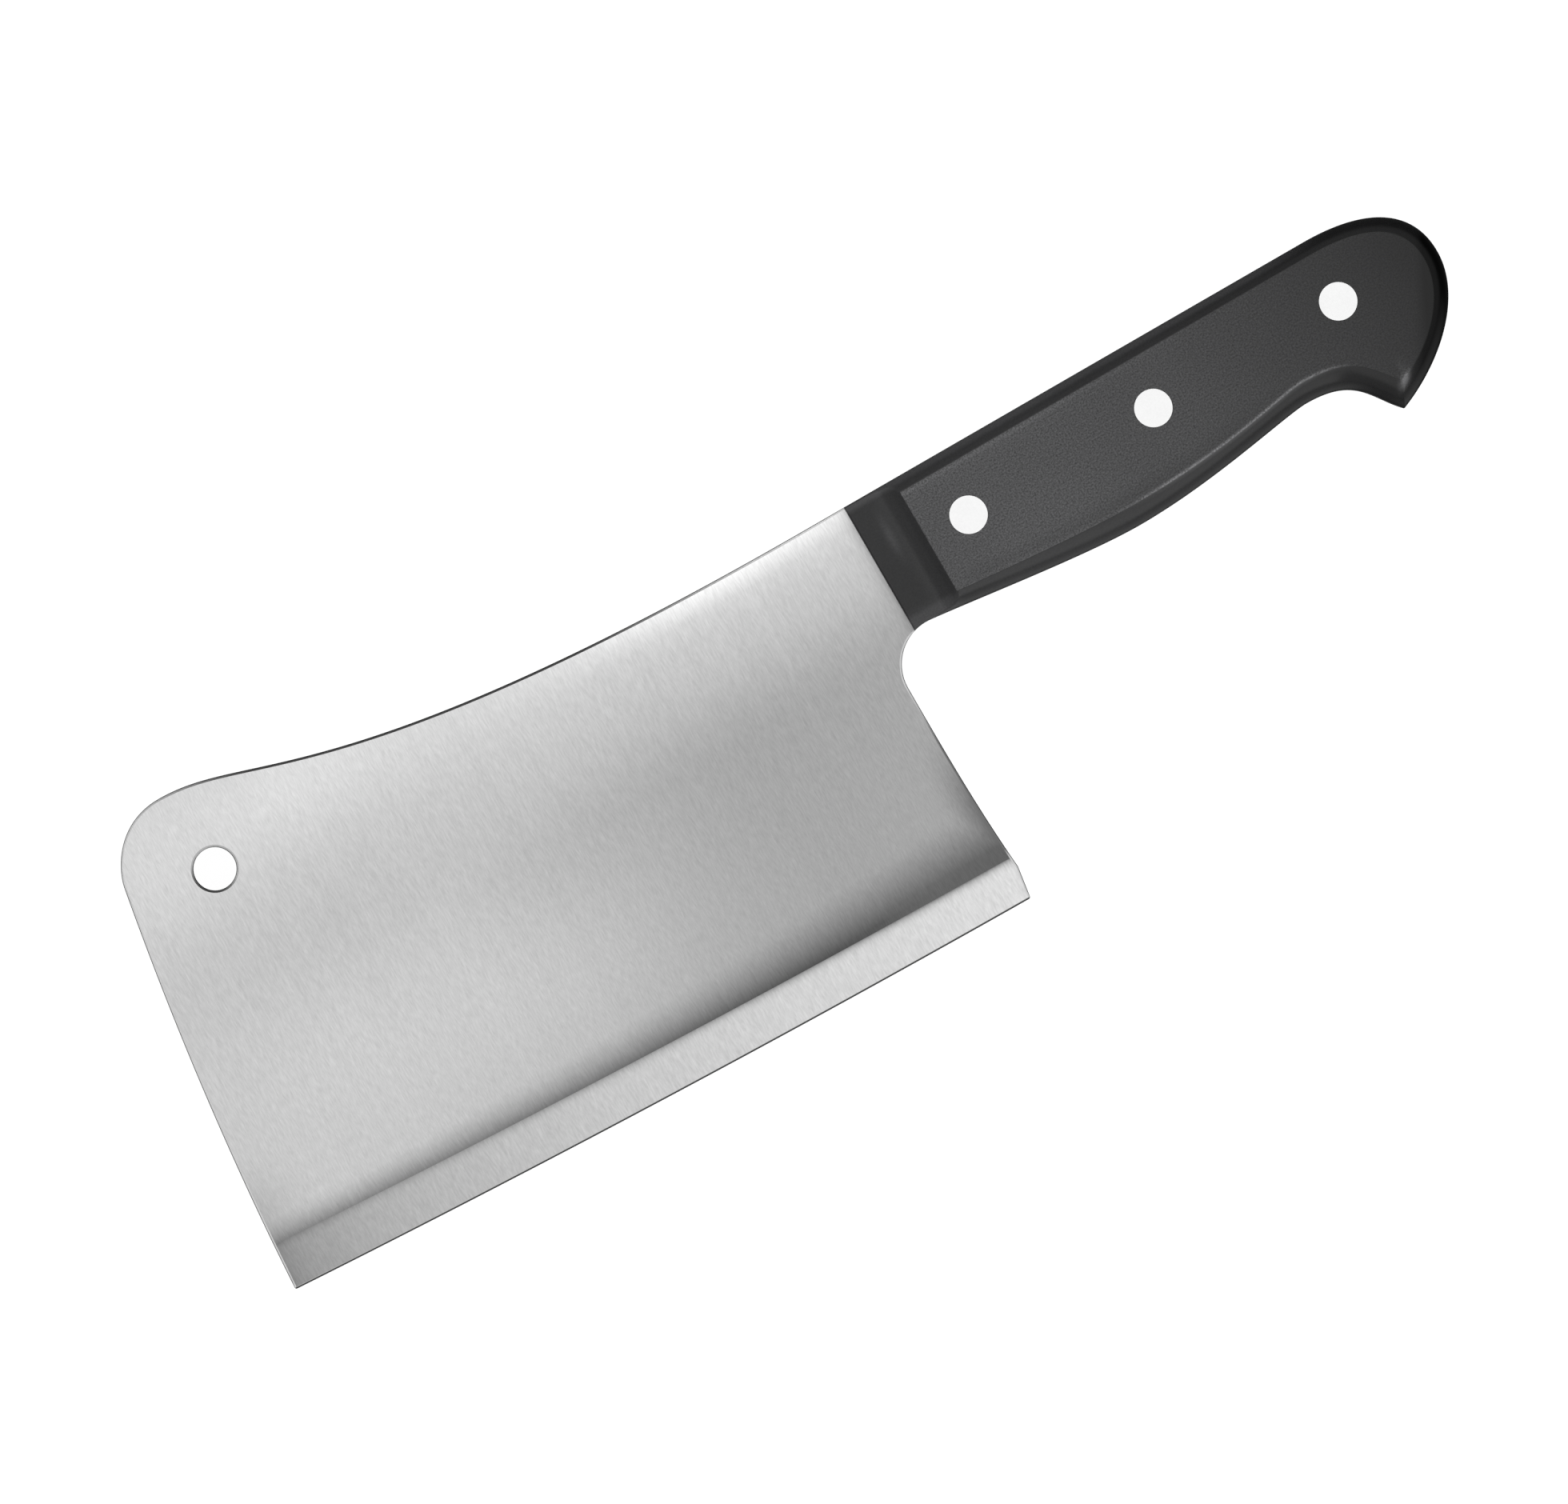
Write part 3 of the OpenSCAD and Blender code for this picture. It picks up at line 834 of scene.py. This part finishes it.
def turned(name, profile, place, side):
    """A turned solid about a rivet's axis. profile is a closed run of (radius, height)."""
    sides = 96
    points, faces = [], []
    turn = 2 * pi * np.arange(sides) / sides
    for r, z in profile:
        points += [(place + r * cos(a), -rivet_drop + r * sin(a), side * z) for a in turn]
    rows = len(profile)
    for i in range(rows):
        for k in range(sides):
            a, b = i * sides, (i + 1) % rows * sides
            faces.append((a + k, a + (k + 1) % sides, b + (k + 1) % sides, b + k))
    return to_object(name, points, faces)


def bore(piece, cutters):
    """Cuts each cutter out of a piece and deletes the cutters."""
    for cutter in cutters:
        cut = piece.modifiers.new("bore", "BOOLEAN")
        cut.object = cutter
        cut.operation = "DIFFERENCE"
        cut.solver = "EXACT"
    seen = piece.evaluated_get(bpy.context.evaluated_depsgraph_get())
    bored = bpy.data.meshes.new_from_object(seen)
    piece.modifiers.clear()
    old, piece.data = piece.data, bored
    bpy.data.meshes.remove(old)
    for cutter in cutters:
        bpy.data.objects.remove(cutter)


def painted_handle_light(x, y):
    """Painted highlights and shade on the plastic at these points: above 0 is a painted
    highlight, below 0 is painted shade.
    """
    flat_edge = underside(np.array([lip[-1][0], back_margin - grip_front_h]), face_palm,
                          face_hollow, face_hook, 60, face_hold)
    inside_flat = y - np.interp(x, flat_edge[:, 0], flat_edge[:, 1])
    hook_x, hook_y, hook_lean = 101.6, -31.4, radians(39.7)
    along_hook = (x - hook_x) * cos(hook_lean) + (y - hook_y) * sin(hook_lean)
    across_hook = (y - hook_y) * cos(hook_lean) - (x - hook_x) * sin(hook_lean)

    # Painted highlights along the palm line, on the hook, along the back, at the back edge, on
    # the neck and under it.
    palm_line = rises(x, 40, 18) * rises(x, 96, -10) * np.exp(-(inside_flat / 0.27) ** 2)
    hook = np.exp(-(along_hook / 1.5) ** 2 - (across_hook / 0.6) ** 2)
    back_line = rises(x, 78, -50) * (x > step_in) * np.exp(-((y + 3.4) / 0.4) ** 2)
    back_edge = rises(y, -1.9, 1.2) * rises(x, 104, -20)
    neck_spot = np.exp(-((x - 4.8) / 0.8) ** 2 - ((y + 9) / 3.6) ** 2)
    under_neck = rises(x, 11.5, -4) * rises(y, -23.2, -1.2)
    lighter = (1.7 * palm_line + 2.2 * hook + 0.4 * back_line + 0.45 * back_edge
               + 0.4 * neck_spot + 0.3 * under_neck)

    # Painted shade on the neck's flat, beside the palm and under the butt.
    neck_flat = rises(x, 7.5, -3) * rises(y, -23.5, 1.5)
    beside_palm = rises(x, 11, 6) * rises(x, 84, -20) * np.exp(-((inside_flat - 1.3) / 0.8) ** 2)
    under_butt = rises(x - 0.6 * y, 121.5, 5)
    return lighter - 0.1 * neck_flat - 0.22 * beside_palm - 0.22 * under_butt


# Fine pits or grit all over a surface. Fineness says how many there are to a metre.
fine_grain, given, result = new_group("fine_grain", {"Fineness": 3000.0}, ["Grain"])
where = node(fine_grain, "ShaderNodeTexCoord").outputs["Object"]
close = node(fine_grain, "ShaderNodeVectorMath", {0: where, "Scale": given["Fineness"]},
             operation="SCALE")
fine_grain.links.new(noise(fine_grain, close.outputs[0], 2.0, 0.6), result.inputs["Grain"])

# Painted highlights and shade on the plastic, from the stored values. Lift is the most that a
# painted highlight adds.
painted_grip_light, given, result = new_group("painted_grip_light", {"Lift": 0.06}, ["Rub"])
painted_grip_light.links.new(calc(painted_grip_light, "MULTIPLY", stored(painted_grip_light, "handle_light_and_shade"), given["Lift"]),
                 result.inputs["Rub"])


def moulded(name, front, rear, rough, shine, texture):
    """Black moulded plastic, darkened by painted shade from its grey at the front to that at the
    butt.
    """
    material, tree, shader = new_material(name)
    pits = use_group(tree, fine_grain, {"Fineness": 3000.0})["Grain"]
    clouds = use_group(tree, handled, {"Size": 0.025})["Clouds"]
    where = node(tree, "ShaderNodeTexCoord").outputs["Object"]
    x = node(tree, "ShaderNodeSeparateXYZ", {0: where}).outputs[0]
    # Painted shade: the grey falls from the front towards the butt.
    share = remap(tree, x, origin.x + 12 * mm, origin.x + 118 * mm, 0, 1)
    grey = remap(tree, calc(tree, "POWER", share, 1.6), 0, 1, front, rear)
    grey = vary(tree, grey, clouds, 0.08)
    # Adds the painted highlights and shade.
    grey = calc(tree, "ADD", grey, use_group(tree, painted_grip_light, {"Lift": 0.06})["Rub"])
    grey = vary(tree, grey, pits, texture)
    tree.links.new(grey_colour(tree, grey, blue=1.03), shader.inputs["Base Color"])
    tree.links.new(remap(tree, clouds, 0.3, 0.7, rough - 0.02, rough + 0.02),
                   shader.inputs["Roughness"])
    shader.inputs["Specular IOR Level"].default_value = shine
    tree.links.new(bumped(tree, pits, 2.5e-5 * texture), shader.inputs["Normal"])
    return material


face_plastic = moulded("pitted_black_plastic", front=0.058, rear=0.004, rough=0.39, shine=0.3,
                       texture=0.6)
# The margins and neck are the same plastic with a smoother finish, and their darker grey is
# painted shade.
margin_plastic = moulded("smooth_black_plastic", front=0.022, rear=0.005, rough=0.25,
                         shine=0.25, texture=0.15)
sharp_turn = radians(38)
for name, side in (("left_scale", 1), ("right_scale", -1)):
    piece = build_scale(f"{name}_moulded", side)
    piece.data.materials.append(face_plastic)
    piece.data.materials.append(margin_plastic)
    profile = [(0, -2), (tube_hole_r, -2), (tube_hole_r, head_seat),
               (head_r + head_gap, head_seat), (head_r + head_gap, face_z + 1), (0, face_z + 1)]
    bore(piece, [turned("cutter", profile, x, side) for x in rivet_places.values()])
    piece.data.set_sharp_from_angle(angle=sharp_turn)
    even_normals(piece)
    # Stores the painted highlights and shade for the plastic to read.
    store_value(piece.data, "handle_light_and_shade", painted_handle_light(*drafted(piece.data).T))
    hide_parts(name)
    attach(piece, "root")

# ==== Rivets ===============================================================================
# Three two-piece rivets of bright metal. A post's pin is pressed into the tube of a cap, and
# both heads are ground flush with the scales and polished.

tube_r = 2.3
pin_r = 1.6
end_gap = 0.4           # pin and tube stop this far short of the other head's seat
head_ease = 0.1
flat_r = head_r - 0.2   # the top of the head is flat within this radius


def rivet_polish():
    """Bright rivet metal, polished to a fine even grit and clouded by handling."""
    material, tree, shader = new_material("bright_rivet")
    clouds = use_group(tree, handled, {"Size": 0.004})["Clouds"]
    grit = use_group(tree, fine_grain, {"Fineness": 2500.0})["Grain"]
    grey = vary(tree, remap(tree, clouds, 0.3, 0.7, 0.77, 0.79), grit, 0.02)
    tree.links.new(grey_colour(tree, grey), shader.inputs["Base Color"])
    shader.inputs["Metallic"].default_value = 1.0
    tree.links.new(remap(tree, clouds, 0.3, 0.7, 0.39, 0.42), shader.inputs["Roughness"])
    tree.links.new(bumped(tree, grit, 4e-7), shader.inputs["Normal"])
    return material


rivet_metal = rivet_polish()
head_top = [(head_r - head_ease * (1 - sin(a)), face_z - head_ease * (1 - cos(a)))
            for a in np.linspace(pi / 2, 0, 5)]
head_top += [(flat_r, face_z), (0, face_z)]
pin_end = end_gap - head_seat
post = [(0, pin_end), (pin_r, pin_end), (pin_r, head_seat), (head_r, head_seat), *head_top]
cap = [(0, head_seat), (pin_r, head_seat), (pin_r, pin_end), (tube_r, pin_end),
       (tube_r, head_seat), (head_r, head_seat), *head_top]
for name, x in rivet_places.items():
    for part, profile, side in (("post", post, 1), ("cap", cap, -1)):
        piece = turned(f"{name}_rivet_{part}_turned", profile, x, side)
        piece.data.set_sharp_from_angle(angle=sharp_turn)
        even_normals(piece)
        piece.data.materials.append(rivet_metal)
        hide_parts(f"{name}_rivet_{part}")
        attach(piece, "root")

# ==== Studio ===============================================================================
# A white table under one broad soft light, with a weak bar behind the cleaver and a panel in
# front. The camera looks straight down, turned so that the handle points up and to the right.

reach = 6.0             # half width of the table
floor_mesh = bpy.data.meshes.new("table")
floor_mesh.from_pydata([(-reach, -reach, 0), (reach, -reach, 0), (reach, reach, 0),
                        (-reach, reach, 0)], [], [(0, 1, 2, 3)])
table = bpy.data.objects.new("table", floor_mesh)
bpy.context.scene.collection.objects.link(table)
table.location.z = -0.2 * mm      # just clear of the cleaver
material, tree, shader = new_material("table_white")
shader.inputs["Base Color"].default_value = (0.2, 0.2, 0.2, 1)
shader.inputs["Roughness"].default_value = 0.9
shader.inputs["Specular IOR Level"].default_value = 0.0
shader.inputs["Emission Color"].default_value = (1, 1, 1, 1)
shader.inputs["Emission Strength"].default_value = 0.95
floor_mesh.materials.append(material)
table.visible_glossy = False


def soft_light(name, place, look, width, depth, power):
    """An even rectangle of light in metres and watts, turned towards a spot."""
    lamp = bpy.data.lights.new(name, "AREA")
    lamp.shape = "RECTANGLE"
    lamp.size = width
    lamp.size_y = depth
    lamp.energy = power
    holder = bpy.data.objects.new(name, lamp)
    holder.location = place
    holder.rotation_euler = (Vector(look) - Vector(place)).to_track_quat("-Z", "Y").to_euler()
    holder.visible_camera = False
    bpy.context.scene.collection.objects.link(holder)


soft_light("overhead", (0, 0, 1.3), (0, 0, 0), width=3.0, depth=3.0, power=30.0)
soft_light("back_bar", (0, 0.9, 0.9), (0, 0, 0), width=1.6, depth=0.15, power=1.4)
soft_light("edge_panel", (0.1, -1.5, 0.6), (0.1, 0, 0), width=1.0, depth=1.0, power=3.8)

world = bpy.data.worlds.new("studio")
bpy.context.scene.world = world
world.use_nodes = True
tree = world.node_tree
# The walls of the room are dimly lit, and the floor in front of the table glows a little.
aim = node(tree, "ShaderNodeTexCoord").outputs["Generated"]
_, front, rise = node(tree, "ShaderNodeSeparateXYZ", {0: aim}).outputs
walls = calc(tree, "MULTIPLY", remap(tree, rise, -0.05, 0.12, 0.04, 0.5),
             remap(tree, rise, 0.55, 0.95, 1.0, 0.25))
glow = calc(tree, "MULTIPLY", remap(tree, front, -0.45, -0.8, 0.0, 0.5),
            remap(tree, rise, 0.0, -0.1, 0.0, 1.0))
dim = tree.nodes["Background"]
dim.inputs["Color"].default_value = (1, 1, 1, 1)
tree.links.new(calc(tree, "ADD", walls, glow), dim.inputs["Strength"])
seen = node(tree, "ShaderNodeLightPath").outputs["Is Camera Ray"]
pale = node(tree, "ShaderNodeBackground", {"Color": (1, 1, 1, 1), "Strength": 0.95})
both = node(tree, "ShaderNodeMixShader", {0: seen, 1: dim.outputs[0], 2: pale.outputs[0]})
tree.links.new(both.outputs[0], tree.nodes["World Output"].inputs["Surface"])

frame_w = 0.28983       # width of what the camera sees on the blade
camera_h = 6.0          # above the side of the plate
camera_x, camera_y = -32.1, -33.6
lens = bpy.data.cameras.new("camera")
lens.sensor_width = 36.0
lens.lens = lens.sensor_width * camera_h / frame_w
lens.clip_end = 30.0
camera = bpy.data.objects.new("camera", lens)
camera.location = origin + Vector((camera_x * mm, camera_y * mm, plate_t / 2 * mm + camera_h))
camera.rotation_euler = (0, 0, radians(-30))
bpy.context.scene.collection.objects.link(camera)
bpy.context.scene.camera = camera
bpy.context.scene.view_settings.view_transform = "Standard"
